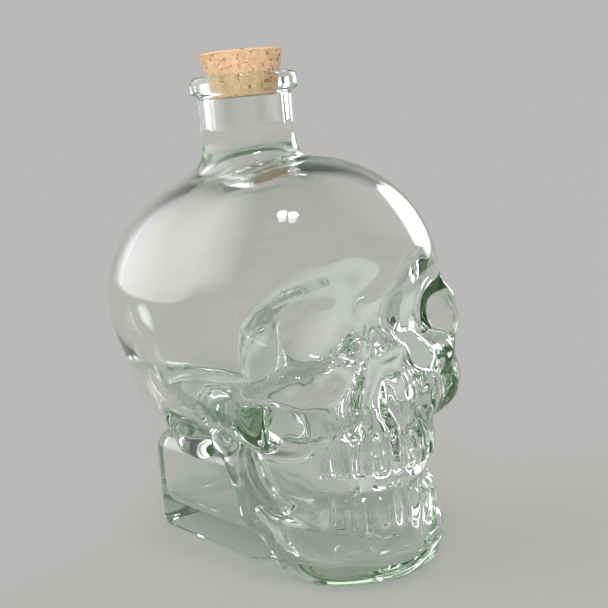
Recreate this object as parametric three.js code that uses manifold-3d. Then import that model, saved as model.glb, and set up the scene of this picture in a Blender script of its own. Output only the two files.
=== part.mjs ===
import * as THREE from "three";
import { mergeVertices } from "three/addons/utils/BufferGeometryUtils.js";
import Module from "manifold-3d";

// Skull bottle with a cork, in millimetres. +Z up, face toward -Y, neck on the Z axis, floor at zero.

// Neck, lip and bore.
const lipTop = 168;
const lipDepth = 6.6;
const lipRadius = 18.8;
const lipRound = 2;
const neckRadius = 16.5;
const neckWall = 3.3;
const boreRadius = neckRadius - neckWall;
const neckFillet = 8;
const mouthFlare = 0.6;

// Glass thickness.
const wall = 4.6;
const thinnest = 3.2;
const baseThickness = 9;
const floorRound = 3;
const hollowRound = 8;

// Cork, gripped at the mouth of the bore.
const corkClearance = 0.3;
const corkAbove = 8;
const corkBelow = 7.5;
const corkTaper = 0.21;
const corkChamfer = 0.7;

// Brain case and brow.
const vault = { at: [0, -2, 92], half: [53.5, 65, 47] };
const nape = { at: [0, 16, 63], half: [40, 41, 30], soft: 12 };
const forehead = { at: [0, -32, 99], half: [42, 30, 37], soft: 14 };
const temple = { at: [56, -42, 79], half: [12.5, 14, 17], soft: 9 };

// Face, jaw, throat and foot.
const midface = { at: [0, -30, 78], half: [41, 33, 34], soft: 7 };
const maxilla = { at: [0, -42, 60], half: [33, 25, 24], soft: 6 };
const throat = { at: [0, -28, 38], half: [28, 36, 42], soft: 8 };
const spine = { at: [0, 11, 40], half: [22, 30, 24], soft: 6 };
const ramus = { at: [0, -38, 42], half: [36, 19, 27], soft: 6 };
const chin = { at: [0, -59, 12], half: [15, 10.8, 12.5], soft: 8 };
const foot = { at: [0, 17, 16], half: [24.5, 35.5, 22], corner: 8, soft: 5 };

// Gum and jaw arches: half width, half length, centre along Y, lower and upper edge.
const upperGum = { half: [24, 27.5], back: -43, low: 36, high: 60, edge: 6, soft: 4 };
const biteGum = { half: [23, 27], back: -42.5, low: 10, high: 50, edge: 5, soft: 4 };
const lowerGum = { half: [24, 27.5], back: -41.5, low: 6, high: 30, edge: 6, soft: 4 };
const jawArch = { half: [28.5, 27.8], back: -41, low: -3, high: 26, edge: 14, soft: 6 };

// Rods of the jaw, cheek, nose and rims, each point with its radius.
const jawLine = { points: [[18, -52, 11, 8.5], [24.5, -41, 16, 8], [29, -31, 24, 7]], soft: 6 };
const jawEdge = {
  points: [[34, -13, 55, 3.6], [33.5, -19, 47, 4], [32.5, -26.5, 37, 4.4], [30.5, -29, 25, 5.5]],
  soft: 7,
};
const cheek = { points: [[22, -53, 60, 8.5], [30, -51.5, 60, 9], [35, -46, 61.5, 9.5]], soft: 8 };
const cheekArch = {
  points: [[38, -46, 61, 5], [43, -34, 62, 4.5], [43.5, -20, 64.5, 4], [40, -6, 67.5, 4]],
  soft: 10,
};
const sideRim = {
  points: [[35.5, -51.5, 92, 2.4], [37, -51, 86, 4.8], [37.5, -50.5, 79, 5.6], [38, -49.5, 71, 5]],
  soft: 4,
};
const lowerRim = {
  points: [[35, -53.5, 70.5, 4.4], [29, -57.5, 69.2, 4.8], [21, -60.5, 69.4, 4.6], [14.5, -63.5, 73.3, 3.8],
    [10.5, -64.5, 79, 3]],
  soft: 4,
};
const mastoid = { points: [[37, 4, 50.5, 4.5], [36, -2, 45.5, 5], [34.5, -5, 42.5, 4.2]], soft: 10 };
const noseRidge = { points: [[0, -51, 97, 7], [0, -53.5, 90, 7], [0, -64.5, 77.5, 8]], soft: 5 };
const noseSide = { points: [[6, -56, 88, 7], [11, -57.5, 74, 9], [13, -58.5, 58, 10]], soft: 6 };
const rodSoft = 4;

// Eye socket and nose opening.
const socket = { at: [22, -75, 84], half: [15.5, 26.5, 14], turn: -18, soft: 5, browSoft: 8 };
const nasion = { at: [0, -73.5, 89], half: [13, 14, 8], soft: 10 };
const nostril = { at: [5.5, -80, 58.5], half: [7.5, 16, 9], soft: 8 };
const nosePeak = { at: [0, -82, 67], half: [6.5, 15, 9], soft: 6 };

// Tooth rows: arch half width and length, centre along Y, crown middle, crown sizes and root reach.
const upperTeeth = { half: [24.6, 28], back: -43, middle: 43.5, thick: 2.2, tall: 4.8, root: 8 };
const lowerTeeth = { half: [23.6, 28], back: -41.5, middle: 25.8, thick: 2.5, tall: 4.4, root: -6 };
const teethPerSide = 7;
const toothFill = 0.45;
const toothCorner = 2.3;
const toothBlend = 1.6;
const toothSoft = 2.4;
const rootSoft = 2.5;
const rootStart = 0.8;
const rootNarrowing = 0.3;
const crownReach = 6.5;

// Rings and columns of the glass blank, columns closer together at the face.
const outerColumns = 72;
const hollowColumns = 40;
const faceCrowding = 0.45;
const corkColumns = 48;
const ringBack = -11;
const ringBackBelow = 45;
const ringCentreAbove = vault.at[2] + vault.half[2];
const domeFrom = vault.at[2];
const domeRise = 26;
const domeTilt = 52;
const domeRings = 13;
const jawRings = 5;
const crownRings = 5;
const biteRings = 2;
const faceRings = 13;
const hollowLow = 26;
const hollowTilt = -70;
const hollowFloorRings = 5;
const hollowBodyRings = 12;
const hollowDomeRings = 9;
const reach = 2 * vault.half[1];
const march = 0.8;
const halvings = 30;
const settlePasses = 14;
const settleShare = 0.5;
const pullSteps = 2;
const pullProbe = 0.05;
const pullMost = 1.5;
const seamGap = 1e-4;
const tiny = 1e-6;

const glassColour = 0xdce6dd;
const corkColour = 0xc79c6c;

// Soft union of two distances.
function join(a, b, soft) {
  const h = Math.max(soft - Math.abs(a - b), 0) / soft;
  return Math.min(a, b) - h * h * soft * 0.25;
}

// Soft cut of b out of a.
function carve(a, b, soft) {
  return -join(-a, b, soft);
}

// Distance to an egg, turned about Z when it has a turn in degrees.
function egg(x, y, z, shape) {
  let dx = x - shape.at[0];
  let dy = y - shape.at[1];
  const dz = z - shape.at[2];
  if (shape.turn) {
    const c = Math.cos(THREE.MathUtils.degToRad(shape.turn));
    const s = Math.sin(THREE.MathUtils.degToRad(shape.turn));
    [dx, dy] = [dx * c + dy * s, dy * c - dx * s];
  }
  const [a, b, c] = shape.half;
  const near = Math.hypot(dx / a, dy / b, dz / c) + tiny;
  const slope = Math.hypot(dx / (a * a), dy / (b * b), dz / (c * c)) + tiny;
  return near * (near - 1) / slope;
}

// Distance to a string of round rods.
function rods(x, y, z, shape) {
  let d = Infinity;
  for (let i = 1; i < shape.points.length; i++) {
    const [ax, ay, az, ar] = shape.points[i - 1];
    const [bx, by, bz, br] = shape.points[i];
    const ux = bx - ax;
    const uy = by - ay;
    const uz = bz - az;
    const along = ((x - ax) * ux + (y - ay) * uy + (z - az) * uz) / (ux * ux + uy * uy + uz * uz);
    const t = THREE.MathUtils.clamp(along, 0, 1);
    const one = Math.hypot(x - ax - t * ux, y - ay - t * uy, z - az - t * uz) - ar - t * (br - ar);
    d = d === Infinity ? one : join(d, one, rodSoft);
  }
  return d;
}

// Distance to a block with rounded edges, measured from its middle.
function block(x, y, z, half, corner) {
  const qx = Math.abs(x) - half[0] + corner;
  const qy = Math.abs(y) - half[1] + corner;
  const qz = Math.abs(z) - half[2] + corner;
  const out = Math.hypot(Math.max(qx, 0), Math.max(qy, 0), Math.max(qz, 0));
  return out + Math.min(Math.max(qx, qy, qz), 0) - corner;
}

// Distance to a gum arch with soft edges.
function gum(x, y, z, shape) {
  const [a, b] = shape.half;
  const near = Math.hypot(x / a, (y - shape.back) / b) + tiny;
  const slope = Math.hypot(x / (a * a), (y - shape.back) / (b * b)) / near + tiny;
  const side = carve((near - 1) / slope, z - shape.low, shape.edge);
  return carve(side, shape.high - z, shape.edge);
}

// Angle of a blank column from the middle of the face.
function columnAngle(share) {
  const turn = 2 * Math.PI * share;
  return turn - faceCrowding * Math.sin(turn);
}

// Middle of the rings along Y at a height.
function ringMiddle(z) {
  const share = (ringCentreAbove - z) / (ringCentreAbove - ringBackBelow);
  return ringBack * THREE.MathUtils.clamp(share, 0, 1);
}

// Where a column meets the arch of a tooth row.
function onArch(row, column) {
  const angle = columnAngle(column / outerColumns);
  const centre = ringMiddle(row.middle) - row.back;
  const ux = Math.sin(angle) / row.half[0];
  const uy = -Math.cos(angle) / row.half[1];
  const c = centre / row.half[1];
  const a = ux * ux + uy * uy;
  const b = uy * c;
  const t = (-b + Math.sqrt(b * b - a * (c * c - 1))) / a;
  return [t * Math.sin(angle), row.back + centre - t * Math.cos(angle)];
}

// Crown places of one side of a tooth row, two columns to a crown.
function placeTeeth(row) {
  const teeth = [];
  for (let i = 0; i < teethPerSide; i++) {
    const from = onArch(row, 2 * i);
    const to = onArch(row, 2 * i + 2);
    const [x, y] = onArch(row, 2 * i + 1);
    const width = Math.hypot(to[0] - from[0], to[1] - from[1]);
    const c = (to[0] - from[0]) / width;
    const s = (to[1] - from[1]) / width;
    teeth.push({ x, y, c, s, half: [width * toothFill, row.thick, row.tall] });
  }
  return { row, teeth };
}

const rows = [placeTeeth(upperTeeth), placeTeeth(lowerTeeth)];

// Distance to a row of crowns with their root ridges.
function toothRow(x, y, z, { row, teeth }) {
  let d = Infinity;
  for (const tooth of teeth) {
    const dx = x - tooth.x;
    const dy = y - tooth.y;
    const dz = z - row.middle;
    const across = dx * tooth.c + dy * tooth.s;
    const out = dy * tooth.c - dx * tooth.s;
    const crown = block(across, out, dz, tooth.half, toothCorner);
    const t = THREE.MathUtils.clamp(dz / row.root, 0, 1);
    const root = Math.hypot(dx, dy, dz - t * row.root) - row.thick * (rootStart - rootNarrowing * t);
    const one = join(crown, root, rootSoft);
    d = d === Infinity ? one : join(d, one, toothBlend);
  }
  return d;
}

// Brain case, face masses, jaw and foot, the same on both sides.
function masses(x, y, z) {
  let d = egg(x, y, z, vault);
  d = join(d, egg(x, y, z, nape), nape.soft);
  d = join(d, egg(x, y, z, forehead), forehead.soft);
  d = carve(d, egg(x, y, z, temple), temple.soft);
  let face = join(egg(x, y, z, midface), egg(x, y, z, maxilla), maxilla.soft);
  face = join(face, egg(x, y, z, throat), throat.soft);
  const nose = join(rods(x, y, z, noseRidge), rods(x, y, z, noseSide), noseSide.soft);
  face = join(face, nose, noseRidge.soft);
  d = join(d, face, midface.soft);
  for (const arch of [upperGum, biteGum, lowerGum, jawArch]) {
    d = join(d, gum(x, y, z, arch), arch.soft);
  }
  let jaw = join(egg(x, y, z, ramus), rods(x, y, z, jawLine), jawLine.soft);
  jaw = join(jaw, egg(x, y, z, chin), chin.soft);
  d = join(d, jaw, ramus.soft);
  const [fx, fy, fz] = foot.at;
  d = join(d, block(x - fx, y - fy, z - fz, foot.half, foot.corner), foot.soft);
  d = join(d, egg(x, y, z, spine), spine.soft);
  const rise = THREE.MathUtils.clamp((z - socket.at[2]) / socket.half[2], 0, 1);
  d = carve(d, egg(x, y, z, nasion), nasion.soft);
  d = carve(d, egg(x, y, z, socket), socket.soft + (socket.browSoft - socket.soft) * rise);
  const opening = join(egg(x, y, z, nostril), egg(x, y, z, nosePeak), nosePeak.soft);
  return carve(d, opening, nostril.soft);
}

// Solid ridges, teeth and neck over the masses.
function features(x, y, z) {
  let d = masses(x, y, z);
  for (const ridge of [cheek, sideRim, lowerRim, cheekArch, mastoid, jawEdge]) {
    d = join(d, rods(x, y, z, ridge), ridge.soft);
  }
  for (const row of rows) {
    d = join(d, toothRow(x, y, z, row), toothSoft);
  }
  const around = Math.hypot(x, y);
  const neckEnd = carve(around - neckRadius, lipTop - lipRound - z, lipRound);
  d = join(d, carve(neckEnd, z - vault.at[2], lipRound), neckFillet);
  const lipHalf = lipDepth / 2;
  const lipShape = [lipHalf, lipHalf, lipHalf];
  const lip = block(around - lipRadius + lipHalf, 0, z - lipTop + lipHalf, lipShape, lipRound);
  return join(d, lip, lipRound / 2);
}

// Outside of the glass, flat at the floor.
function outside(x, y, z) {
  return carve(features(Math.abs(x), y, z), z, floorRound);
}

// Inside of the glass: the masses less the wall, opened by the bore.
function inside(x, y, z) {
  const ax = Math.abs(x);
  const plain = masses(ax, y, z) + wall;
  let d = carve(plain, -features(ax, y, z) - thinnest, rodSoft);
  d = carve(d, z - baseThickness, hollowRound);
  const rise = Math.max(z - lipTop + mouthFlare, 0);
  const bore = carve(Math.hypot(x, y) - boreRadius - rise, z - vault.at[2], lipRound);
  return join(d, bore, neckFillet);
}

// Where a ray from a ring's middle meets a shape: last way out of the outside, first way out of the hollow.
function leave({ shape, height, tilt, hollow }, angle) {
  const back = ringMiddle(height);
  const flat = Math.cos(tilt);
  const ux = Math.sin(angle) * flat;
  const uy = -Math.cos(angle) * flat;
  const uz = Math.sin(tilt);
  const along = (t) => shape(t * ux, back + t * uy, height + t * uz);
  let low = hollow ? 0 : reach;
  while (hollow ? along(low + march) < 0 : low > 0 && along(low) > 0) {
    low += hollow ? march : -march;
  }
  let high = low + march;
  for (let i = 0; i < halvings; i++) {
    const mid = (low + high) / 2;
    if (along(mid) > 0) {
      high = mid;
    } else {
      low = mid;
    }
  }
  return [low * ux, back + low * uy, height + low * uz];
}

// Heights from one level to another in even steps, the last left out.
function steps(from, to, count) {
  return Array.from({ length: count }, (_, i) => from + (to - from) * i / count);
}

// A lathe blank whose rings are drawn out to a shape; each ring has a shape, a height and a tilt.
function blow(rings, columns, bottom, top) {
  const profile = [new THREE.Vector2(0, bottom)];
  for (const ring of rings) {
    profile.push(new THREE.Vector2(neckRadius, ring.height));
  }
  profile.push(new THREE.Vector2(0, top));
  const blank = new THREE.LatheGeometry(profile, columns);
  const place = blank.getAttribute("position");
  const perColumn = profile.length;
  for (let i = 0; i < place.count; i++) {
    const column = Math.floor(i / perColumn) % columns;
    const ring = i % perColumn;
    if (ring === 0 || ring === perColumn - 1) {
      const z = ring === 0 ? bottom : top;
      place.setXYZ(i, 0, ringMiddle(z), z);
    } else {
      const [x, y, z] = leave(rings[ring - 1], columnAngle(column / columns));
      place.setXYZ(i, x, y, z);
    }
  }
  return blank;
}

// Evens out a blown blank: free places move toward their neighbours and back onto the shape.
function settle(blank, rings, columns) {
  const place = blank.getAttribute("position");
  const perColumn = rings.length + 2;
  const at = (column, ring) => new THREE.Vector3().fromBufferAttribute(place, column * perColumn + ring);
  for (let pass = 0; pass < settlePasses; pass++) {
    const moved = [];
    for (let column = 0; column < columns; column++) {
      for (let ring = 2; ring < perColumn - 1; ring++) {
        const { shape, free, tooth } = rings[ring - 1];
        const held = tooth && Math.min(column, columns - column) <= 2 * teethPerSide;
        if (free && !held) {
          const mean = at((column + 1) % columns, ring).add(at((column + columns - 1) % columns, ring));
          mean.add(at(column, ring + 1)).add(at(column, ring - 1)).divideScalar(4);
          const spot = at(column, ring).lerp(mean, settleShare);
          moved.push([column * perColumn + ring, pull(shape, spot)]);
        }
      }
    }
    for (const [i, spot] of moved) {
      place.setXYZ(i, spot.x, spot.y, spot.z);
    }
  }
  for (let ring = 0; ring < perColumn; ring++) {
    const first = at(0, ring);
    place.setXYZ(columns * perColumn + ring, first.x, first.y, first.z);
  }
  const index = [];
  for (let column = 0; column < columns; column++) {
    for (let ring = 0; ring < perColumn - 1; ring++) {
      const a = column * perColumn + ring;
      const b = a + perColumn;
      const slant = at(column + 1, ring).distanceTo(at(column, ring + 1));
      const other = at(column, ring).distanceTo(at(column + 1, ring + 1));
      const pair = slant < other ? [a, b, a + 1, b + 1, a + 1, b] : [a, b, b + 1, a, b + 1, a + 1];
      index.push(...pair);
    }
  }
  blank.setIndex(index);
  return blank;
}

// Brings a place onto a shape along the slope of its distance.
function pull(shape, spot) {
  for (let i = 0; i < pullSteps; i++) {
    const { x, y, z } = spot;
    const slope = new THREE.Vector3(
      shape(x + pullProbe, y, z) - shape(x - pullProbe, y, z),
      shape(x, y + pullProbe, z) - shape(x, y - pullProbe, z),
      shape(x, y, z + pullProbe) - shape(x, y, z - pullProbe),
    ).divideScalar(2 * pullProbe);
    const off = shape(x, y, z) / Math.max(slope.lengthSq(), pullProbe);
    spot.addScaledVector(slope, -THREE.MathUtils.clamp(off, -pullMost, pullMost));
  }
  return spot;
}

const wasm = await Module();
wasm.setup();

// Closed body of a geometry, its seams merged and its empty triangles dropped.
function solid(geometry) {
  geometry.deleteAttribute("normal");
  geometry.deleteAttribute("uv");
  const merged = mergeVertices(geometry, seamGap);
  const index = merged.getIndex().array;
  const kept = [];
  for (let i = 0; i < index.length; i += 3) {
    const [a, b, c] = [index[i], index[i + 1], index[i + 2]];
    if (a !== b && b !== c && c !== a) {
      kept.push(a, b, c);
    }
  }
  return new wasm.Manifold(new wasm.Mesh({
    numProp: 3,
    vertProperties: new Float32Array(merged.getAttribute("position").array),
    triVerts: new Uint32Array(kept),
  }));
}

// Named mesh of a closed body.
function toMesh(body, name, material) {
  const { vertProperties, triVerts } = body.getMesh();
  const geometry = new THREE.BufferGeometry();
  geometry.setAttribute("position", new THREE.BufferAttribute(new Float32Array(vertProperties), 3));
  geometry.setIndex(new THREE.BufferAttribute(new Uint32Array(triVerts), 1));
  geometry.computeVertexNormals();
  const mesh = new THREE.Mesh(geometry, material);
  mesh.name = name;
  return mesh;
}

// Whether a level crosses the crowns of a tooth row.
const inTeeth = (z) => rows.some(({ row }) => Math.abs(z - row.middle) < row.tall);

// One level ring of the outside, and one of the hollow.
const level = (height) => ({ shape: outside, height, tilt: 0 });
const hollowRing = (height, tilt) => ({ shape: inside, height, tilt, hollow: true });

// Rings of the outside from the floor to the lip.
const floorEdge = (x, y, z) => features(Math.abs(x), y, z) + floorRound;
const [upperLow, upperHigh] = [upperTeeth.middle - crownReach, upperTeeth.middle + crownReach];
const [lowerLow, lowerHigh] = [lowerTeeth.middle - crownReach, lowerTeeth.middle + crownReach];
const bodyLevels = [
  ...steps(floorRound / 3, lowerLow, jawRings),
  ...steps(lowerLow, lowerHigh, crownRings),
  ...steps(lowerHigh, upperLow, biteRings),
  ...steps(upperLow, upperHigh, crownRings),
  ...steps(upperHigh, domeFrom, faceRings),
];
const tiltUp = THREE.MathUtils.degToRad(domeTilt);
const tiltDown = THREE.MathUtils.degToRad(hollowTilt);
const neckBottom = vault.at[2] + vault.half[2] + neckFillet;
const lipBottom = lipTop - lipDepth;
const lipLevels = [
  neckBottom - neckFillet / 2, neckBottom,
  lipBottom - lipRound / 2, lipBottom + lipRound / 4, lipBottom + lipRound,
  lipTop - lipRound, lipTop - lipRound / 4,
];
const outerRings = [
  { shape: floorEdge, height: 0, tilt: 0 },
  ...bodyLevels.map((z) => ({ ...level(z), free: z > floorRound, tooth: inTeeth(z) })),
  ...steps(0, 1, domeRings).map((share) => ({
    shape: outside,
    free: true,
    height: domeFrom + domeRise * share,
    tilt: tiltUp * share,
  })),
  ...lipLevels.map(level),
  { shape: outside, height: lipBottom, tilt: Math.atan2(lipDepth, lipRadius - lipRound) },
];

// Rings of the hollow from its bottom to above the mouth.
const mouthLevels = [
  neckBottom - neckFillet / 2, neckBottom, lipBottom, lipTop - mouthFlare, lipTop + mouthFlare,
];
const hollowRings = [
  ...steps(tiltDown, 0, hollowFloorRings).map((tilt) => hollowRing(hollowLow, tilt)),
  ...steps(hollowLow, domeFrom, hollowBodyRings).map((z) => hollowRing(z, 0)),
  ...steps(0, 1, hollowDomeRings).map((share) => hollowRing(domeFrom + domeRise * share, tiltUp * share)),
  ...mouthLevels.map((z) => hollowRing(z, 0)),
];

const outer = solid(settle(blow(outerRings, outerColumns, 0, lipTop), outerRings, outerColumns));
const hollow = solid(blow(hollowRings, hollowColumns, baseThickness, lipTop + mouthFlare));
const glass = outer.subtract(hollow);

// Cork: a plain cone with chamfered ends.
const corkTopRadius = boreRadius - corkClearance + corkTaper * corkAbove;
const corkEndRadius = boreRadius - corkClearance - corkTaper * corkBelow;
const corkEnd = lipTop - corkBelow;
const corkTop = lipTop + corkAbove;
const corkProfile = [
  [0, corkEnd], [corkEndRadius - corkChamfer, corkEnd], [corkEndRadius, corkEnd + corkChamfer],
  [corkTopRadius, corkTop - corkChamfer], [corkTopRadius - corkChamfer, corkTop], [0, corkTop],
].map(([r, z]) => new THREE.Vector2(r, z));
const corkCone = new THREE.LatheGeometry(corkProfile, corkColumns).rotateX(Math.PI / 2);

const glassLook = new THREE.MeshStandardMaterial({ color: glassColour, roughness: 0.05, metalness: 0 });
const corkLook = new THREE.MeshStandardMaterial({ color: corkColour, roughness: 0.85, metalness: 0 });

const bottle = new THREE.Group();
bottle.name = "skull_bottle";
bottle.add(toMesh(glass, "glass_bottle", glassLook));
bottle.add(toMesh(solid(corkCone), "cork_stopper", corkLook));

export default bottle;
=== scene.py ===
import math

import bpy
import numpy as np
from mathutils import Matrix, Vector


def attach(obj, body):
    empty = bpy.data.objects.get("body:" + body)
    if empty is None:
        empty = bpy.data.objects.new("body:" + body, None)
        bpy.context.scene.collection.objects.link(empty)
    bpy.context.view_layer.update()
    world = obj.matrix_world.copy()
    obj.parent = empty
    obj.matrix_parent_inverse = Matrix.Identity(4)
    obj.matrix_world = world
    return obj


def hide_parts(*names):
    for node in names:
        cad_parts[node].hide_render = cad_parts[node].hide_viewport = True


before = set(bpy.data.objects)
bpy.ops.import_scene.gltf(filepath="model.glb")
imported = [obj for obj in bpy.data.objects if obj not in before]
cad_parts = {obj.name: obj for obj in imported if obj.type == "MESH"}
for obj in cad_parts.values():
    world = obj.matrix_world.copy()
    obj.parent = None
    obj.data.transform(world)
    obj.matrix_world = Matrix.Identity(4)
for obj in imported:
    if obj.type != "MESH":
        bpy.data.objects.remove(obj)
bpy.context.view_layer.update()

bl_info = {
    "name": "Skull bottle",
    "version": (1, 0, 0),
    "blender": (4, 5, 0),
    "location": "View3D > Sidebar > Skull bottle",
    "description": "Builds a clear glass skull bottle with its cork, and a plain stage for it",
    "category": "Object",
}

MM = 0.001

# Forms of the skull in millimetres: middle, half sizes, how softly each joins or cuts, and its turn.
VAULT = ((0, -2, 92), (53.5, 65, 47))
NAPE = ((0, 16, 63), (40, 41, 30), 12)
FOREHEAD = ((0, -32, 99), (42, 30, 37), 14)
TEMPLE = ((56, -42, 79), (12.5, 14, 17), 9)
MIDFACE = ((0, -30, 78), (41, 33, 34), 7)
MAXILLA = ((0, -42, 60), (33, 25, 24), 6)
THROAT = ((0, -28, 38), (28, 36, 42), 8)
SPINE = ((0, 11, 40), (22, 30, 24), 6)
RAMUS = ((0, -38, 42), (36, 19, 27), 6)
CHIN = ((0, -59, 12), (15, 10.8, 12.5), 8)
FOOT = ((0, 17, 16), (24.5, 35.5, 22), 8, 5)
SOCKET = ((22, -75, 84), (15.5, 26.5, 14), 4, -18)
BROW_SOFT = 6
NASION = ((0, -73, 88), (12, 14, 8), 14)
NOSTRIL = ((5.5, -80, 58.5), (7.5, 16, 9), 8)
NOSE_PEAK = ((0, -82, 67), (6.5, 15, 9), 6)

# Gum arches: half sizes, centre along Y, lower and upper edge, edge softness and joint softness.
GUMS = (
    ((24, 27.5), -43, 36, 60, 6, 4),
    ((23, 27), -42.5, 10, 50, 5, 4),
    ((24, 27.5), -41.5, 6, 30, 6, 4),
    ((28.5, 27.8), -41, -3, 26, 14, 6),
)

# Rods: points with their radius, and how softly the string joins.
JAW_LINE = (((18, -52, 11, 8.5), (24.5, -41, 16, 8), (29, -31, 24, 7)), 6)
JAW_EDGE = (((34, -13, 55, 3.6), (33.5, -19, 47, 4), (32.5, -26.5, 37, 4.4), (30.5, -29, 25, 5.5)), 5)
CHEEK = (((22, -53, 60, 8.5), (30, -51.5, 58.5, 9), (36, -46, 58.5, 9)), 8)
CHEEK_ARCH = (((38, -46, 61, 5), (43, -34, 62, 4.5), (43.5, -20, 64.5, 4), (40, -6, 67.5, 4)), 10)
SIDE_RIM = (((35.5, -51.5, 92, 2.4), (37, -51, 86, 4.8), (37.5, -50.5, 79, 5.6), (38, -49.5, 71, 5)), 3)
LOWER_RIM = (((35, -53.5, 70.5, 4.4), (29, -57.5, 69.2, 4.8), (21, -60.5, 69.4, 4.6),
              (14.5, -63.5, 73.3, 3.8), (10.5, -64.5, 79, 3)), 3)
MASTOID = (((37, 4, 50.5, 4.5), (36, -2, 45.5, 5), (34.5, -5, 42.5, 4.2)), 8)
NOSE_RIDGE = (((0, -51, 97, 7), (0, -53.5, 90, 7), (0, -64.5, 77.5, 8)), 5)
NOSE_SIDE = (((6, -56, 88, 7), (11, -57.5, 74, 9), (13, -58.5, 58, 10)), 6)
ROD_SOFT = 4

# Tooth rows: arch half sizes, centre along Y, crown middle, thickness, height and root reach.
TOOTH_ROWS = (
    ((24.6, 28), -43, 43.5, 2.2, 4.8, 8),
    ((23.6, 28), -41.5, 25.8, 2.5, 4.4, -6),
)
TEETH_PER_SIDE = 7
TOOTH_COLUMNS = 72
FACE_CROWDING = 0.45
RING_BACK = -11

# Crowns and roots: share of its room that a crown fills, its corners, and how softly the parts join.
TOOTH_FILL = 0.45
TOOTH_CORNER = 2.3
TOOTH_BLEND = 1.6
TOOTH_SOFT = 2.4
ROOT_SOFT = 2.5
ROOT_START = 0.8
ROOT_NARROWING = 0.3

# Roundings of the lip, neck, foot and hollow, and where the base thins under the jaw.
LIP_ROUND = 2
MOUTH_FLARE = 0.6
MOUTH_EDGE = 1
NECK_FILLET = 8
FOOT_ROUND = 3
HOLLOW_ROUND = 8
THIN_BASE_FROM = 20
THIN_BASE_OVER = 25

# Mesh of the glass: room around the bottle, grid blocks, and how the mesh settles on the surface.
ROOM_LOW = (-57, -79, -3)
ROOM_HIGH = (57, 68)
ROOM_ABOVE = 3
BLOCK_CELLS = 4
NEAR_BAND = 1.6
POINTS_AT_ONCE = 60000
SETTLE_PASSES = 3
EVENING = 0.5
LONGEST_MOVE = 0.6
LEAST_SLOPE = 0.05
PROBE = 0.04
TINY = 1e-6

# Mesh of the cork: rounding of its edges and columns around it.
CORK_EDGE = 0.7
CORK_COLUMNS = 160

# Tints of the glass where it is uneven and of the light that falls through it.
UNEVEN_TINT = (0.96, 0.985, 0.965, 1)
SHADOW_TINT = (0.9, 0.93, 0.905, 1)

# Floor: radius and height in metres, and how much darker its grain is.
FLOOR_RADIUS = 40
FLOOR_HEIGHT = 0.0001
FLOOR_GRAIN = 0.97

# Studio: its dark sides, and where the paper begins and ends along the view and upward.
STUDIO_DARK = (0.1, 0.1, 0.105, 1)
PAPER_SIDE = (0.75, 0.92)
PAPER_TOP = (0.5, 0.2)

# Soft lights in the studio: direction, cosine of the bright middle and of the rim, and brightness.
SOFT_LIGHTS = (
    ((-0.66, 0.68, 0.33), 1.0, 0.6, 2.4),
    ((0.83, -0.08, 0.55), 0.97, 0.82, 0.6),
    ((0.94, 0.27, 0.2), 0.999, 0.965, 9.0),
)

# Lamps: name, direction, strength, width in degrees, and whether the glass mirrors them.
LAMPS = (
    ("spark_one", (-0.184, -0.254, 0.95), 0.38, 6.5, True),
    ("spark_two", (-0.097, -0.355, 0.93), 0.38, 6.5, True),
    ("front_soft", (-0.54, -0.8, 0.3), 2.3, 40, False),
)

# Camera: angles in degrees, place in metres, and its lens as a share of the picture's width.
CAMERA_AZIMUTH = 34.0
CAMERA_YAW = 1.84
CAMERA_PITCH = 8.7
CAMERA_ROLL = -5.19
CAMERA_DISTANCE = 0.436
CAMERA_HEIGHT = 0.152
CAMERA_CLIP = 0.01
SENSOR_WIDTH = 36
FOCAL_PIXELS = 1228
PICTURE_PIXELS = 608

# Light paths through the many walls of the glass.
BOUNCES = 128


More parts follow.
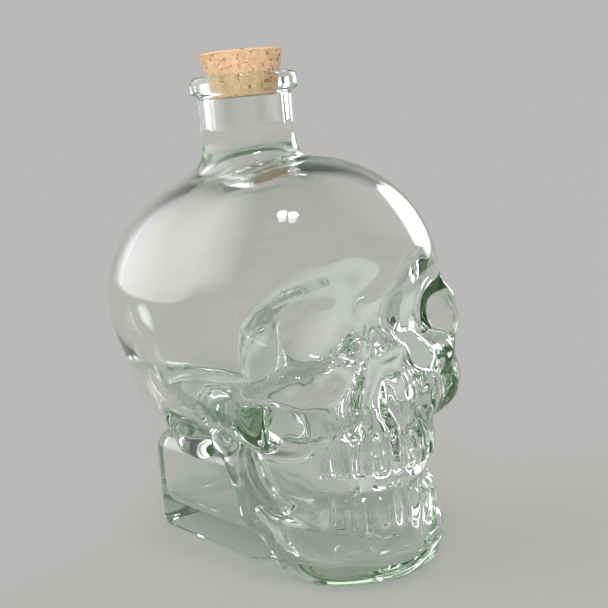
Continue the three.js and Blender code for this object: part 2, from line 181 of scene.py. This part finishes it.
class SkullBottleSizes(bpy.types.PropertyGroup):
    """Sizes and looks of the bottle, the cork and the stage."""

    lip_top: bpy.props.FloatProperty(
        name="Lip height", description="Height of the lip above the floor", default=0.168, unit="LENGTH")
    lip_depth: bpy.props.FloatProperty(
        name="Lip depth", description="Height of the rolled lip", default=0.0066, unit="LENGTH")
    lip_radius: bpy.props.FloatProperty(
        name="Lip radius", description="Outer radius of the lip", default=0.0188, unit="LENGTH")
    neck_radius: bpy.props.FloatProperty(
        name="Neck radius", description="Outer radius of the neck", default=0.0165, unit="LENGTH")
    neck_wall: bpy.props.FloatProperty(
        name="Neck wall", description="Glass thickness of the neck", default=0.0033, unit="LENGTH")
    wall: bpy.props.FloatProperty(
        name="Wall", description="Glass thickness of the skull", default=0.0046, unit="LENGTH")
    thinnest: bpy.props.FloatProperty(
        name="Thinnest glass", description="Least glass behind the features", default=0.0032, unit="LENGTH")
    base_thickness: bpy.props.FloatProperty(
        name="Base thickness", description="Glass under the hollow", default=0.009, unit="LENGTH")
    mesh_step: bpy.props.FloatProperty(
        name="Mesh step", description="Spacing of the glass mesh", default=0.0009, unit="LENGTH")
    cork_above: bpy.props.FloatProperty(
        name="Cork above lip", description="Height of the cork above the lip", default=0.008, unit="LENGTH")
    cork_below: bpy.props.FloatProperty(
        name="Cork below lip", description="Depth of the cork in the mouth", default=0.0075, unit="LENGTH")
    cork_taper: bpy.props.FloatProperty(
        name="Cork taper", description="Radius gained for each unit of height", default=0.21)
    cork_clearance: bpy.props.FloatProperty(
        name="Cork clearance", description="Gap between the cork and the mouth", default=0.0003,
        unit="LENGTH")
    glass_colour: bpy.props.FloatVectorProperty(
        name="Glass", description="Colour of thin glass", subtype="COLOR", size=4, min=0, max=1,
        default=(0.985, 0.992, 0.986, 1))
    glass_tint: bpy.props.FloatVectorProperty(
        name="Glass tint", description="Colour of deep glass", subtype="COLOR", size=4, min=0, max=1,
        default=(0.72, 0.815, 0.715, 1))
    tint_density: bpy.props.FloatProperty(
        name="Tint density", description="How fast deep glass takes its tint, per metre", default=22)
    glass_ior: bpy.props.FloatProperty(
        name="Glass index", description="Refractive index of the glass", default=1.5)
    cork_pale: bpy.props.FloatVectorProperty(
        name="Cork pale", description="Colour of the pale cork grains", subtype="COLOR", size=4,
        min=0, max=1, default=(0.93, 0.64, 0.405, 1))
    cork_brown: bpy.props.FloatVectorProperty(
        name="Cork brown", description="Colour of the brown cork grains", subtype="COLOR", size=4,
        min=0, max=1, default=(0.7, 0.39, 0.195, 1))
    cork_dark: bpy.props.FloatVectorProperty(
        name="Cork flecks", description="Colour of the dark flecks", subtype="COLOR", size=4, min=0, max=1,
        default=(0.22, 0.1, 0.05, 1))
    floor_colour: bpy.props.FloatVectorProperty(
        name="Floor", description="Colour of the pale floor", subtype="COLOR", size=4, min=0, max=1,
        default=(0.52, 0.51, 0.5, 1))
    backdrop_colour: bpy.props.FloatVectorProperty(
        name="Backdrop", description="Colour behind the bottle", subtype="COLOR", size=4, min=0, max=1,
        default=(0.497, 0.487, 0.477, 1))


def join(a, b, soft):
    """Soft union of two distances."""
    h = np.maximum(soft - np.abs(a - b), 0) / soft
    return np.minimum(a, b) - h * h * (soft * 0.25)


def carve(a, b, soft):
    """Soft cut of b out of a."""
    return -join(-a, b, soft)


def length(*parts):
    """Length of the vector with these parts."""
    return np.sqrt(sum(p * p for p in parts))


def egg(x, y, z, shape):
    """Distance to an egg, turned about Z when its shape has a fourth value."""
    (cx, cy, cz), (a, b, c) = shape[:2]
    dx, dy, dz = x - cx, y - cy, z - cz
    if len(shape) > 3:
        turn = math.radians(shape[3])
        cosine, sine = math.cos(turn), math.sin(turn)
        dx, dy = dx * cosine + dy * sine, dy * cosine - dx * sine
    near = length(dx / a, dy / b, dz / c) + TINY
    slope = length(dx / a**2, dy / b**2, dz / c**2) + TINY
    return near * (near - 1) / slope


def rods(x, y, z, shape):
    """Distance to a string of round rods."""
    points = shape[0]
    d = None
    for (ax, ay, az, ar), (bx, by, bz, br) in zip(points[:-1], points[1:]):
        ux, uy, uz = bx - ax, by - ay, bz - az
        t = ((x - ax) * ux + (y - ay) * uy + (z - az) * uz) / (ux * ux + uy * uy + uz * uz)
        t = np.clip(t, 0, 1)
        one = length(x - ax - t * ux, y - ay - t * uy, z - az - t * uz) - ar - t * (br - ar)
        d = one if d is None else join(d, one, ROD_SOFT)
    return d


def block(x, y, z, half, corner):
    """Distance to a block with rounded edges, measured from its middle."""
    qx, qy, qz = abs(x) - half[0] + corner, abs(y) - half[1] + corner, abs(z) - half[2] + corner
    out = length(np.maximum(qx, 0), np.maximum(qy, 0), np.maximum(qz, 0))
    return out + np.minimum(np.maximum(np.maximum(qx, qy), qz), 0) - corner


def gum(x, y, z, shape):
    """Distance to a gum arch with soft edges."""
    (a, b), back, low, high, edge, _ = shape
    near = length(x / a, (y - back) / b) + TINY
    slope = length(x / a**2, (y - back) / b**2) / near + TINY
    return carve(carve((near - 1) / slope, z - low, edge), high - z, edge)


def on_arch(row, column):
    """Where a column of the face meets the arch of a tooth row."""
    (a, b), back = row[:2]
    turn = 2 * math.pi * column / TOOTH_COLUMNS
    angle = turn - FACE_CROWDING * math.sin(turn)
    centre = RING_BACK - back
    ux, uy, c = math.sin(angle) / a, -math.cos(angle) / b, centre / b
    square = ux * ux + uy * uy
    t = (-uy * c + math.sqrt((uy * c) ** 2 - square * (c * c - 1))) / square
    return t * math.sin(angle), RING_BACK - t * math.cos(angle)


def tooth_row(x, y, z, row):
    """Distance to a row of crowns with their root ridges."""
    _, _, middle, thick, tall, root = row
    d = None
    for i in range(TEETH_PER_SIDE):
        start, end, (cx, cy) = on_arch(row, 2 * i), on_arch(row, 2 * i + 2), on_arch(row, 2 * i + 1)
        width = math.hypot(end[0] - start[0], end[1] - start[1])
        c, s = (end[0] - start[0]) / width, (end[1] - start[1]) / width
        dx, dy, dz = x - cx, y - cy, z - middle
        crown = block(dx * c + dy * s, dy * c - dx * s, dz, (width * TOOTH_FILL, thick, tall), TOOTH_CORNER)
        t = np.clip(dz / root, 0, 1)
        ridge = length(dx, dy, dz - t * root) - thick * (ROOT_START - ROOT_NARROWING * t)
        one = join(crown, ridge, ROOT_SOFT)
        d = one if d is None else join(d, one, TOOTH_BLEND)
    return d


def masses(x, y, z):
    """Brain case, face, jaw and foot; x is the distance from the middle plane."""
    d = egg(x, y, z, VAULT)
    d = join(d, egg(x, y, z, NAPE), NAPE[2])
    d = join(d, egg(x, y, z, FOREHEAD), FOREHEAD[2])
    d = carve(d, egg(x, y, z, TEMPLE), TEMPLE[2])
    face = join(egg(x, y, z, MIDFACE), egg(x, y, z, MAXILLA), MAXILLA[2])
    face = join(face, egg(x, y, z, THROAT), THROAT[2])
    nose = join(rods(x, y, z, NOSE_RIDGE), rods(x, y, z, NOSE_SIDE), NOSE_SIDE[1])
    face = join(face, nose, NOSE_RIDGE[1])
    d = join(d, face, MIDFACE[2])
    for arch in GUMS:
        d = join(d, gum(x, y, z, arch), arch[5])
    jaw = join(egg(x, y, z, RAMUS), rods(x, y, z, JAW_LINE), JAW_LINE[1])
    jaw = join(jaw, egg(x, y, z, CHIN), CHIN[2])
    d = join(d, jaw, RAMUS[2])
    (fx, fy, fz), half, corner, soft = FOOT
    d = join(d, block(x - fx, y - fy, z - fz, half, corner), soft)
    d = join(d, egg(x, y, z, SPINE), SPINE[2])
    rise = np.clip((z - SOCKET[0][2]) / SOCKET[1][2], 0, 1)
    d = carve(d, egg(x, y, z, NASION), NASION[2])
    d = carve(d, egg(x, y, z, SOCKET), SOCKET[2] + (BROW_SOFT - SOCKET[2]) * rise)
    opening = join(egg(x, y, z, NOSTRIL), egg(x, y, z, NOSE_PEAK), NOSE_PEAK[2])
    return carve(d, opening, NOSTRIL[2])


def glass_field(sizes):
    """Signed distance of the glass in millimetres, for places given as columns of x, y and z."""
    lip_top, lip_depth, lip_radius = sizes.lip_top / MM, sizes.lip_depth / MM, sizes.lip_radius / MM
    neck, bore = sizes.neck_radius / MM, (sizes.neck_radius - sizes.neck_wall) / MM
    wall, thinnest, base = sizes.wall / MM, sizes.thinnest / MM, sizes.base_thickness / MM

    def field(p):
        x, y, z = np.abs(p[:, 0]), p[:, 1], p[:, 2]
        mass = masses(x, y, z)
        d = mass
        for ridge in (CHEEK, SIDE_RIM, LOWER_RIM, CHEEK_ARCH, MASTOID, JAW_EDGE):
            d = join(d, rods(x, y, z, ridge), ridge[1])
        for row in TOOTH_ROWS:
            d = join(d, tooth_row(x, y, z, row), TOOTH_SOFT)
        around = length(x, y)
        tube = carve(around - neck, lip_top - LIP_ROUND - z, LIP_ROUND)
        tube = carve(tube, z - VAULT[0][2], LIP_ROUND)
        d = join(d, tube, NECK_FILLET)
        half = lip_depth / 2
        lip = block(around - lip_radius + half, 0 * x, z - lip_top + half, (half, half, half), LIP_ROUND)
        d = join(d, lip, LIP_ROUND / 2)
        outside = carve(d, z, FOOT_ROUND)
        hollow = carve(mass + wall, -d - thinnest, ROD_SOFT)
        forward = np.clip((-y - THIN_BASE_FROM) / THIN_BASE_OVER, 0, 1)
        hollow = carve(hollow, z - base - (wall - base) * forward, HOLLOW_ROUND)
        rise = np.maximum(z - lip_top + MOUTH_FLARE, 0)
        hole = carve(around - bore - rise, z - VAULT[0][2], LIP_ROUND)
        hollow = join(hollow, hole, NECK_FILLET)
        return carve(outside, hollow, MOUTH_EDGE)

    return field


def evaluate(field, points):
    """The field at many places, in blocks that fit the cache."""
    parts = np.array_split(points, len(points) // POINTS_AT_ONCE + 1)
    return np.concatenate([field(part) for part in parts])


def sample(field, low, high, step):
    """The field on a grid that mirrors in x, measured finely only near the surface."""
    start = np.array([0, low[1], low[2]])
    block_step = step * BLOCK_CELLS
    count = [int(math.ceil((high[i] - start[i]) / step / BLOCK_CELLS)) for i in range(3)]
    axes = [start[i] + block_step * (np.arange(count[i]) + 0.5) for i in range(3)]
    middles = np.stack(np.meshgrid(*axes, indexing="ij"), -1).reshape(-1, 3)
    values = evaluate(field, middles).reshape(count)
    near = np.abs(values) < block_step * NEAR_BAND
    for axis in range(3):
        values = np.repeat(values, BLOCK_CELLS, axis)
        near = np.repeat(near, BLOCK_CELLS, axis)
    values[near] = evaluate(field, start + step * (np.argwhere(near) + 0.5))
    corner = np.array([-count[0] * BLOCK_CELLS + 0.5, 0.5, 0.5]) * step + [0, *start[1:]]
    return np.concatenate([values[::-1], values]), corner


def shifted(corner, size):
    """Slices of a grid, moved by one cell along the axes where the corner is one."""
    return tuple(slice(corner[i], size[i] - 1 + corner[i]) for i in range(3))


def net(values, start, step):
    """Places and faces of the surface where the sampled values change sign."""
    solid = values < 0
    size = np.array(values.shape)
    corners = [(i, j, k) for i in (0, 1) for j in (0, 1) for k in (0, 1)]
    count = sum(solid[shifted(c, size)].astype(np.int8) for c in corners)
    crossed = (count > 0) & (count < 8)
    number = np.full(crossed.shape, -1)
    cells = np.argwhere(crossed)
    number[crossed] = np.arange(len(cells))
    total, seen = np.zeros((len(cells), 3)), np.zeros(len(cells))
    for a in corners:
        for axis in range(3):
            if not a[axis]:
                b = tuple(1 if i == axis else a[i] for i in range(3))
                va, vb = values[tuple((cells + a).T)], values[tuple((cells + b).T)]
                changes = (va < 0) != (vb < 0)
                share = np.where(changes, va / np.where(changes, va - vb, 1), 0)
                total += np.where(changes[:, None], cells + a + share[:, None] * (np.array(b) - a), 0)
                seen += changes
    places = start + step * total / seen[:, None]
    faces = []
    for axis in range(3):
        u, w = np.eye(3, dtype=int)[(axis + 1) % 3], np.eye(3, dtype=int)[(axis + 2) % 3]
        one, two = [slice(1, -1)] * 3, [slice(1, -1)] * 3
        one[axis], two[axis] = slice(0, -1), slice(1, None)
        a, b = solid[tuple(one)], solid[tuple(two)]
        offset = np.ones(3, int)
        offset[axis] = 0
        for flip, mask in ((False, a & ~b), (True, ~a & b)):
            edge = np.argwhere(mask) + offset
            ring = [number[tuple((edge - back).T)] for back in (u + w, w, 0 * u, u)]
            faces.append(np.stack(ring[::-1] if flip else ring, 1))
    return places, np.concatenate(faces)


def slopes(field, places):
    """Direction in which the field grows fastest at each place."""
    rises = [evaluate(field, places + side) - evaluate(field, places - side) for side in np.eye(3) * PROBE]
    return np.stack(rises, 1) / (2 * PROBE)


def settle(field, places, faces, passes):
    """Evens out a net and brings it onto the surface; gives the places and their normals."""
    ring = np.concatenate([faces[:, [0, 1]], faces[:, [1, 2]], faces[:, [2, 3]], faces[:, [3, 0]]])
    degree = np.bincount(ring[:, 0], minlength=len(places))[:, None]
    for _ in range(passes):
        sums = [np.bincount(ring[:, 0], places[ring[:, 1], i], len(places)) for i in range(3)]
        places = places + EVENING * (np.stack(sums, 1) / degree - places)
        grow = slopes(field, places)
        off = evaluate(field, places) / np.maximum((grow * grow).sum(1), LEAST_SLOPE)
        places = places - np.clip(off, -LONGEST_MOVE, LONGEST_MOVE)[:, None] * grow
    grow = slopes(field, places)
    return places, grow / np.maximum(np.linalg.norm(grow, axis=1), TINY)[:, None]


def add_piece(name, places, faces, normals=None):
    """A smooth mesh object from places in metres."""
    mesh = bpy.data.meshes.new(name)
    mesh.from_pydata(places.tolist(), [], faces)
    mesh.polygons.foreach_set("use_smooth", [True] * len(mesh.polygons))
    mesh.update()
    if normals is not None:
        mesh.normals_split_custom_set_from_vertices(normals.tolist())
    piece = bpy.data.objects.new(name, mesh)
    bpy.context.collection.objects.link(piece)
    return piece


def node_group(name, inputs, outputs):
    """A new shader node group with its sockets; gives the group and its two end nodes."""
    group = bpy.data.node_groups.new(name, "ShaderNodeTree")
    for label, kind in inputs:
        group.interface.new_socket(label, in_out="INPUT", socket_type=kind)
    for label, kind in outputs:
        group.interface.new_socket(label, in_out="OUTPUT", socket_type=kind)
    return group, group.nodes.new("NodeGroupInput"), group.nodes.new("NodeGroupOutput")


def add_node(tree, kind, links=None, **values):
    """A node with its settings, socket values and links."""
    node = tree.nodes.new(kind)
    for key, value in values.items():
        setattr(node, key, value)
    for socket, value in (links or {}).items():
        if isinstance(value, bpy.types.NodeSocket):
            tree.links.new(value, node.inputs[socket])
        else:
            node.inputs[socket].default_value = value
    return node


def math_node(tree, operation, a, b=0.5):
    """The output of a maths node."""
    return add_node(tree, "ShaderNodeMath", {0: a, 1: b}, operation=operation).outputs[0]


def mix_colour(tree, factor, a, b):
    """The output of a colour mix."""
    node = add_node(tree, "ShaderNodeMix", {0: factor, 6: a, 7: b}, data_type="RGBA")
    return node.outputs[2]


def along(tree, ray, direction):
    """How closely a ray follows a direction."""
    node = add_node(tree, "ShaderNodeVectorMath", {0: ray, 1: direction}, operation="DOT_PRODUCT")
    return node.outputs["Value"]


def spread(tree, value, low, high, to_low=0.0, to_high=1.0):
    """A value mapped from one range to another and held inside it."""
    links = {"Value": value, "From Min": low, "From Max": high, "To Min": to_low, "To Max": to_high}
    return add_node(tree, "ShaderNodeMapRange", links).outputs["Result"]


def ripple_group():
    """Faint unevenness of moulded glass: a colour, a roughness and a height."""
    group, start, end = node_group(
        "moulded_glass", [("Colour", "NodeSocketColor")],
        [("Colour", "NodeSocketColor"), ("Roughness", "NodeSocketFloat"), ("Height", "NodeSocketFloat")])
    place = add_node(group, "ShaderNodeTexCoord").outputs["Object"]
    broad = add_node(group, "ShaderNodeTexNoise", {"Vector": place, "Scale": 45.0, "Detail": 2.0})
    fine = add_node(group, "ShaderNodeTexNoise", {"Vector": place, "Scale": 160.0, "Detail": 1.0})
    seeds = add_node(group, "ShaderNodeTexVoronoi", {"Vector": place, "Scale": 420.0})
    seed = spread(group, seeds.outputs["Distance"], 0.0, 0.09, 1.0, 0.0)
    broad_value, fine_value = broad.outputs[0], fine.outputs[0]
    seed = math_node(group, "MULTIPLY", seed, spread(group, fine_value, 0.62, 0.66))
    uneven = spread(group, broad_value, 0.35, 0.65, 0.0, 0.35)
    shade = mix_colour(group, uneven, start.outputs["Colour"], UNEVEN_TINT)
    height = math_node(group, "MULTIPLY_ADD", fine_value, 0.18)
    group.links.new(broad_value, height.node.inputs[2])
    height = math_node(group, "ADD", height, math_node(group, "MULTIPLY", seed, 0.15))
    group.links.new(shade, end.inputs["Colour"])
    group.links.new(spread(group, broad_value, 0.3, 0.7, 0.0, 0.012), end.inputs["Roughness"])
    group.links.new(height, end.inputs["Height"])
    return group


def cork_group():
    """Pressed cork grains: a colour, a roughness and a height."""
    group, start, end = node_group(
        "cork_grains", [(label, "NodeSocketColor") for label in ("Pale", "Brown", "Dark")],
        [("Colour", "NodeSocketColor"), ("Roughness", "NodeSocketFloat"), ("Height", "NodeSocketFloat")])
    place = add_node(group, "ShaderNodeTexCoord").outputs["Object"]
    warp = add_node(group, "ShaderNodeTexNoise", {"Vector": place, "Scale": 420.0, "Detail": 4.0})
    offset = add_node(group, "ShaderNodeVectorMath", {0: warp.outputs["Color"], 1: (0.003, 0.003, 0.003)},
                      operation="MULTIPLY").outputs[0]
    bent = add_node(group, "ShaderNodeVectorMath", {0: place, 1: offset}, operation="ADD").outputs[0]
    grain = {"Vector": bent, "Scale": 560.0}
    grains = add_node(group, "ShaderNodeTexVoronoi", grain)
    edges = add_node(group, "ShaderNodeTexVoronoi", grain, feature="DISTANCE_TO_EDGE")
    flecks = add_node(group, "ShaderNodeTexNoise",
                      {"Vector": bent, "Scale": 620.0, "Detail": 4.0, "Roughness": 0.65})
    dust = add_node(group, "ShaderNodeTexNoise", {"Vector": place, "Scale": 2400.0, "Detail": 3.0})
    tone = add_node(group, "ShaderNodeSeparateColor", {0: grains.outputs["Color"]}).outputs[0]
    browner = spread(group, tone, 0.45, 1.0, 0.0, 0.6)
    colour = mix_colour(group, browner, start.outputs["Pale"], start.outputs["Brown"])
    dusty = spread(group, dust.outputs[0], 0.4, 0.7, 0.0, 0.4)
    colour = mix_colour(group, dusty, colour, start.outputs["Brown"])
    # Joints between the grains turn browner: partly the cork's own darker joints, partly painted shade in
    # the grooves that the bump cuts.
    joint_tone_and_shade = spread(group, edges.outputs["Distance"], 0.0, 0.06, 0.35, 0.0)
    colour = mix_colour(group, joint_tone_and_shade, colour, start.outputs["Brown"])
    fleck = spread(group, flecks.outputs[0], 0.58, 0.66, 0.0, 1.0)
    colour = mix_colour(group, fleck, colour, start.outputs["Dark"])
    swell = spread(group, edges.outputs["Distance"], 0.0, 0.09, 0.0, 0.4)
    height = math_node(group, "SUBTRACT", swell, fleck)
    height = math_node(group, "ADD", height, math_node(group, "MULTIPLY", dust.outputs[0], 0.5))
    group.links.new(colour, end.inputs["Colour"])
    group.links.new(spread(group, fleck, 0.0, 1.0, 0.8, 0.95), end.inputs["Roughness"])
    group.links.new(height, end.inputs["Height"])
    return group


def new_material(name):
    """A material with only its output node; gives the material, its tree and the output."""
    material = bpy.data.materials.new(name)
    material.use_nodes = True
    tree = material.node_tree
    tree.nodes.clear()
    return material, tree, tree.nodes.new("ShaderNodeOutputMaterial")


def glass_material(sizes):
    """Clear glass that takes a green tint where it is deep, with a soft light shadow."""
    material, tree, output = new_material("clear_glass")
    look = add_node(tree, "ShaderNodeGroup", node_tree=ripple_group())
    look.inputs["Colour"].default_value = sizes.glass_colour
    bump = add_node(tree, "ShaderNodeBump", {
        "Height": look.outputs["Height"], "Strength": 0.05, "Distance": 0.001})
    glass = add_node(tree, "ShaderNodeBsdfPrincipled", {
        "Base Color": look.outputs["Colour"], "Roughness": look.outputs["Roughness"], "Metallic": 0.0,
        "IOR": sizes.glass_ior, "Transmission Weight": 1.0, "Normal": bump.outputs["Normal"]})
    clear = add_node(tree, "ShaderNodeBsdfTransparent", {"Color": SHADOW_TINT})
    path = add_node(tree, "ShaderNodeLightPath")
    through = math_node(tree, "MAXIMUM", path.outputs["Is Shadow Ray"], path.outputs["Is Diffuse Ray"])
    mix = add_node(tree, "ShaderNodeMixShader", {0: through, 1: glass.outputs[0], 2: clear.outputs[0]})
    depth = add_node(tree, "ShaderNodeVolumeAbsorption", {
        "Color": sizes.glass_tint, "Density": sizes.tint_density})
    tree.links.new(mix.outputs[0], output.inputs["Surface"])
    tree.links.new(depth.outputs[0], output.inputs["Volume"])
    return material


def cork_material(sizes):
    """Matt pressed cork."""
    material, tree, output = new_material("pressed_cork")
    look = add_node(tree, "ShaderNodeGroup", node_tree=cork_group())
    look.inputs["Pale"].default_value = sizes.cork_pale
    look.inputs["Brown"].default_value = sizes.cork_brown
    look.inputs["Dark"].default_value = sizes.cork_dark
    bump = add_node(tree, "ShaderNodeBump", {
        "Height": look.outputs["Height"], "Strength": 0.6, "Distance": 0.0003})
    cork = add_node(tree, "ShaderNodeBsdfPrincipled", {
        "Base Color": look.outputs["Colour"], "Roughness": look.outputs["Roughness"],
        "Normal": bump.outputs["Normal"]})
    tree.links.new(cork.outputs[0], output.inputs["Surface"])
    return material


def floor_material(sizes):
    """Pale matt paper with a faint grain."""
    material, tree, output = new_material("pale_floor")
    place = add_node(tree, "ShaderNodeTexCoord").outputs["Object"]
    grain = add_node(tree, "ShaderNodeTexNoise", {"Vector": place, "Scale": 900.0, "Detail": 2.0})
    dim = tuple(c * FLOOR_GRAIN for c in sizes.floor_colour[:3]) + (1,)
    colour = mix_colour(tree, grain.outputs[0], tuple(sizes.floor_colour), dim)
    paper = add_node(tree, "ShaderNodeBsdfPrincipled", {
        "Base Color": colour, "Roughness": 0.9, "Specular IOR Level": 0.0})
    tree.links.new(paper.outputs[0], output.inputs["Surface"])
    return material


def studio_world(sizes):
    """A dark studio with paper in front of and behind the bottle, and soft lights at its sides."""
    world = bpy.data.worlds.new("soft_studio")
    world.use_nodes = True
    tree = world.node_tree
    tree.nodes.clear()
    ray = add_node(tree, "ShaderNodeTexCoord").outputs["Generated"]
    height = add_node(tree, "ShaderNodeSeparateXYZ", {0: ray}).outputs["Z"]
    view = math.radians(CAMERA_AZIMUTH + CAMERA_YAW)
    facing = math_node(tree, "ABSOLUTE", along(tree, ray, (math.sin(view), math.cos(view), 0)))
    paper = math_node(tree, "MULTIPLY", spread(tree, facing, *PAPER_SIDE), spread(tree, height, *PAPER_TOP))
    sky = mix_colour(tree, paper, STUDIO_DARK, tuple(sizes.backdrop_colour))
    for toward, middle, rim, light in SOFT_LIGHTS:
        close = along(tree, ray, Vector(toward).normalized())
        sky = mix_colour(tree, spread(tree, close, rim, middle), sky, (light, light, light, 1))
    path = add_node(tree, "ShaderNodeLightPath").outputs["Is Camera Ray"]
    sky = mix_colour(tree, path, sky, tuple(sizes.backdrop_colour))
    background = add_node(tree, "ShaderNodeBackground", {"Color": sky, "Strength": 1.0})
    output = tree.nodes.new("ShaderNodeOutputWorld")
    tree.links.new(background.outputs[0], output.inputs["Surface"])
    return world


def cork_profile(narrow, wide, low, high):
    """Radius and height along the cork's side, from the middle of its bottom to the middle of its top."""
    edge = CORK_EDGE
    points = [(0, low)]
    points += [(narrow * t, low) for t in np.linspace(0.1, 1 - edge / narrow, 12)]
    points += [(narrow - edge + edge * math.sin(a), low + edge - edge * math.cos(a))
               for a in np.linspace(0.3, 1.5, 4)]
    points += [(narrow + (wide - narrow) * t, low + (high - low) * t) for t in np.linspace(0.07, 0.94, 30)]
    points += [(wide - edge + edge * math.cos(a), high - edge + edge * math.sin(a))
               for a in np.linspace(0.1, 1.4, 4)]
    points += [(wide * t, high) for t in np.linspace(1 - edge / wide, 0.08, 14)]
    return points + [(0, high)]


def turned(profile, columns):
    """Places and faces of a profile turned about the axis, closed at both ends."""
    radius, height = np.array(profile[1:-1]).T
    angle = np.arange(columns) * 2 * math.pi / columns
    grid = np.stack([np.outer(np.cos(angle), radius), np.outer(np.sin(angle), radius),
                     np.outer(np.ones(columns), height)], -1)
    places = np.concatenate([[[0, 0, profile[0][1]]], grid.reshape(-1, 3), [[0, 0, profile[-1][1]]]])
    rows, last = len(radius), len(places) - 1

    def at(column, row):
        return 1 + (column % columns) * rows + row

    faces = [(at(c, r), at(c + 1, r), at(c + 1, r + 1), at(c, r + 1))
             for c in range(columns) for r in range(rows - 1)]
    faces += [(0, at(c + 1, 0), at(c, 0)) for c in range(columns)]
    faces += [(last, at(c, rows - 1), at(c + 1, rows - 1)) for c in range(columns)]
    return places, faces


class SKULL_OT_glass(bpy.types.Operator):
    """Builds the glass bottle in place of its plain solid"""

    bl_idname = "skull.glass"
    bl_label = "Build glass bottle"

    def execute(self, context):
        sizes = context.scene.skull_bottle
        field = glass_field(sizes)
        step = sizes.mesh_step / MM * 1
        values, start = sample(field, ROOM_LOW, (*ROOM_HIGH, sizes.lip_top / MM + ROOM_ABOVE), step)
        places, faces = net(values, start, step)
        places, normals = settle(field, places, faces, SETTLE_PASSES)
        places[:, 2] = np.maximum(places[:, 2], 0)
        piece = add_piece("bottle_glass", places * MM, faces.tolist(), normals)
        piece.data.materials.append(glass_material(sizes))
        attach(piece, "bottle")
        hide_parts("glass_bottle")
        return {"FINISHED"}


class SKULL_OT_cork(bpy.types.Operator):
    """Builds the cork in place of its plain solid"""

    bl_idname = "skull.cork"
    bl_label = "Build cork"

    def execute(self, context):
        sizes = context.scene.skull_bottle
        mouth = (sizes.neck_radius - sizes.neck_wall - sizes.cork_clearance) / MM
        low, high = (sizes.lip_top - sizes.cork_below) / MM, (sizes.lip_top + sizes.cork_above) / MM
        narrow = mouth - sizes.cork_taper * sizes.cork_below / MM
        wide = mouth + sizes.cork_taper * sizes.cork_above / MM
        places, faces = turned(cork_profile(narrow, wide, low, high), CORK_COLUMNS)
        piece = add_piece("cork", places * MM, faces)
        piece.data.materials.append(cork_material(sizes))
        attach(piece, "cork")
        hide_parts("cork_stopper")
        return {"FINISHED"}


def add_lamp(name, toward, strength, width, mirrored):
    """A soft distant lamp that shines from a direction, and may show in the glass."""
    lamp = bpy.data.lights.new(name, "SUN")
    lamp.energy, lamp.angle = strength, math.radians(width)
    holder = bpy.data.objects.new(name, lamp)
    holder.location = Vector(toward).normalized() * 2
    holder.rotation_euler = Vector(toward).to_track_quat("Z", "Y").to_euler()
    holder.visible_glossy = holder.visible_transmission = mirrored
    bpy.context.collection.objects.link(holder)


def add_camera():
    """The camera at the angle of the photograph."""
    azimuth, pitch, roll = (math.radians(a) for a in (CAMERA_AZIMUTH, CAMERA_PITCH, CAMERA_ROLL))
    turn = azimuth + math.radians(CAMERA_YAW)
    look = Vector((math.sin(turn) * math.cos(pitch), math.cos(turn) * math.cos(pitch), -math.sin(pitch)))
    side = look.cross(Vector((0, 0, 1))).normalized()
    up = side.cross(look)
    right = side * math.cos(roll) + up * math.sin(roll)
    above = up * math.cos(roll) - side * math.sin(roll)
    lens = bpy.data.cameras.new("camera")
    lens.sensor_width = SENSOR_WIDTH
    lens.lens = FOCAL_PIXELS * SENSOR_WIDTH / PICTURE_PIXELS
    lens.clip_start = CAMERA_CLIP
    camera = bpy.data.objects.new("camera", lens)
    place = (-CAMERA_DISTANCE * math.sin(azimuth), -CAMERA_DISTANCE * math.cos(azimuth), CAMERA_HEIGHT)
    camera.matrix_world = Matrix.Translation(place) @ Matrix((right, above, -look)).transposed().to_4x4()
    bpy.context.collection.objects.link(camera)
    bpy.context.scene.camera = camera


class SKULL_OT_stage(bpy.types.Operator):
    """Builds the pale floor, the soft light and the camera"""

    bl_idname = "skull.stage"
    bl_label = "Build stage"

    def execute(self, context):
        sizes = context.scene.skull_bottle
        bpy.ops.mesh.primitive_circle_add(
            vertices=96, radius=FLOOR_RADIUS, fill_type="NGON", location=(0, 0, FLOOR_HEIGHT))
        floor = context.object
        floor.name = "floor"
        floor.data.materials.append(floor_material(sizes))
        context.scene.world = studio_world(sizes)
        for name, toward, strength, width, mirrored in LAMPS:
            add_lamp(name, toward, strength, width, mirrored)
        add_camera()
        context.scene.view_settings.view_transform = "Standard"
        for kind in ("max", "transmission", "glossy"):
            setattr(context.scene.cycles, kind + "_bounces", BOUNCES)
        context.scene.cycles.transparent_max_bounces = BOUNCES
        return {"FINISHED"}


class SKULL_PT_panel(bpy.types.Panel):
    """Sizes and build buttons of the skull bottle"""

    bl_idname = "SKULL_PT_panel"
    bl_label = "Skull bottle"
    bl_space_type = "VIEW_3D"
    bl_region_type = "UI"
    bl_category = "Skull bottle"

    def draw(self, context):
        sizes = context.scene.skull_bottle
        for name in sizes.bl_rna.properties.keys():
            if name not in ("rna_type", "name"):
                self.layout.prop(sizes, name)
        for operator in (SKULL_OT_glass, SKULL_OT_cork, SKULL_OT_stage):
            self.layout.operator(operator.bl_idname)


CLASSES = (SkullBottleSizes, SKULL_OT_glass, SKULL_OT_cork, SKULL_OT_stage, SKULL_PT_panel)


def register():
    """Adds the classes and the scene's sizes."""
    for cls in CLASSES:
        bpy.utils.register_class(cls)
    bpy.types.Scene.skull_bottle = bpy.props.PointerProperty(type=SkullBottleSizes)


def unregister():
    """Takes the classes and the scene's sizes away."""
    del bpy.types.Scene.skull_bottle
    for cls in reversed(CLASSES):
        bpy.utils.unregister_class(cls)


def main():
    """Builds the bottle, the cork and the stage."""
    register()
    bpy.ops.skull.glass()
    bpy.ops.skull.cork()
    bpy.ops.skull.stage()


if __name__ == "__main__":
    main()
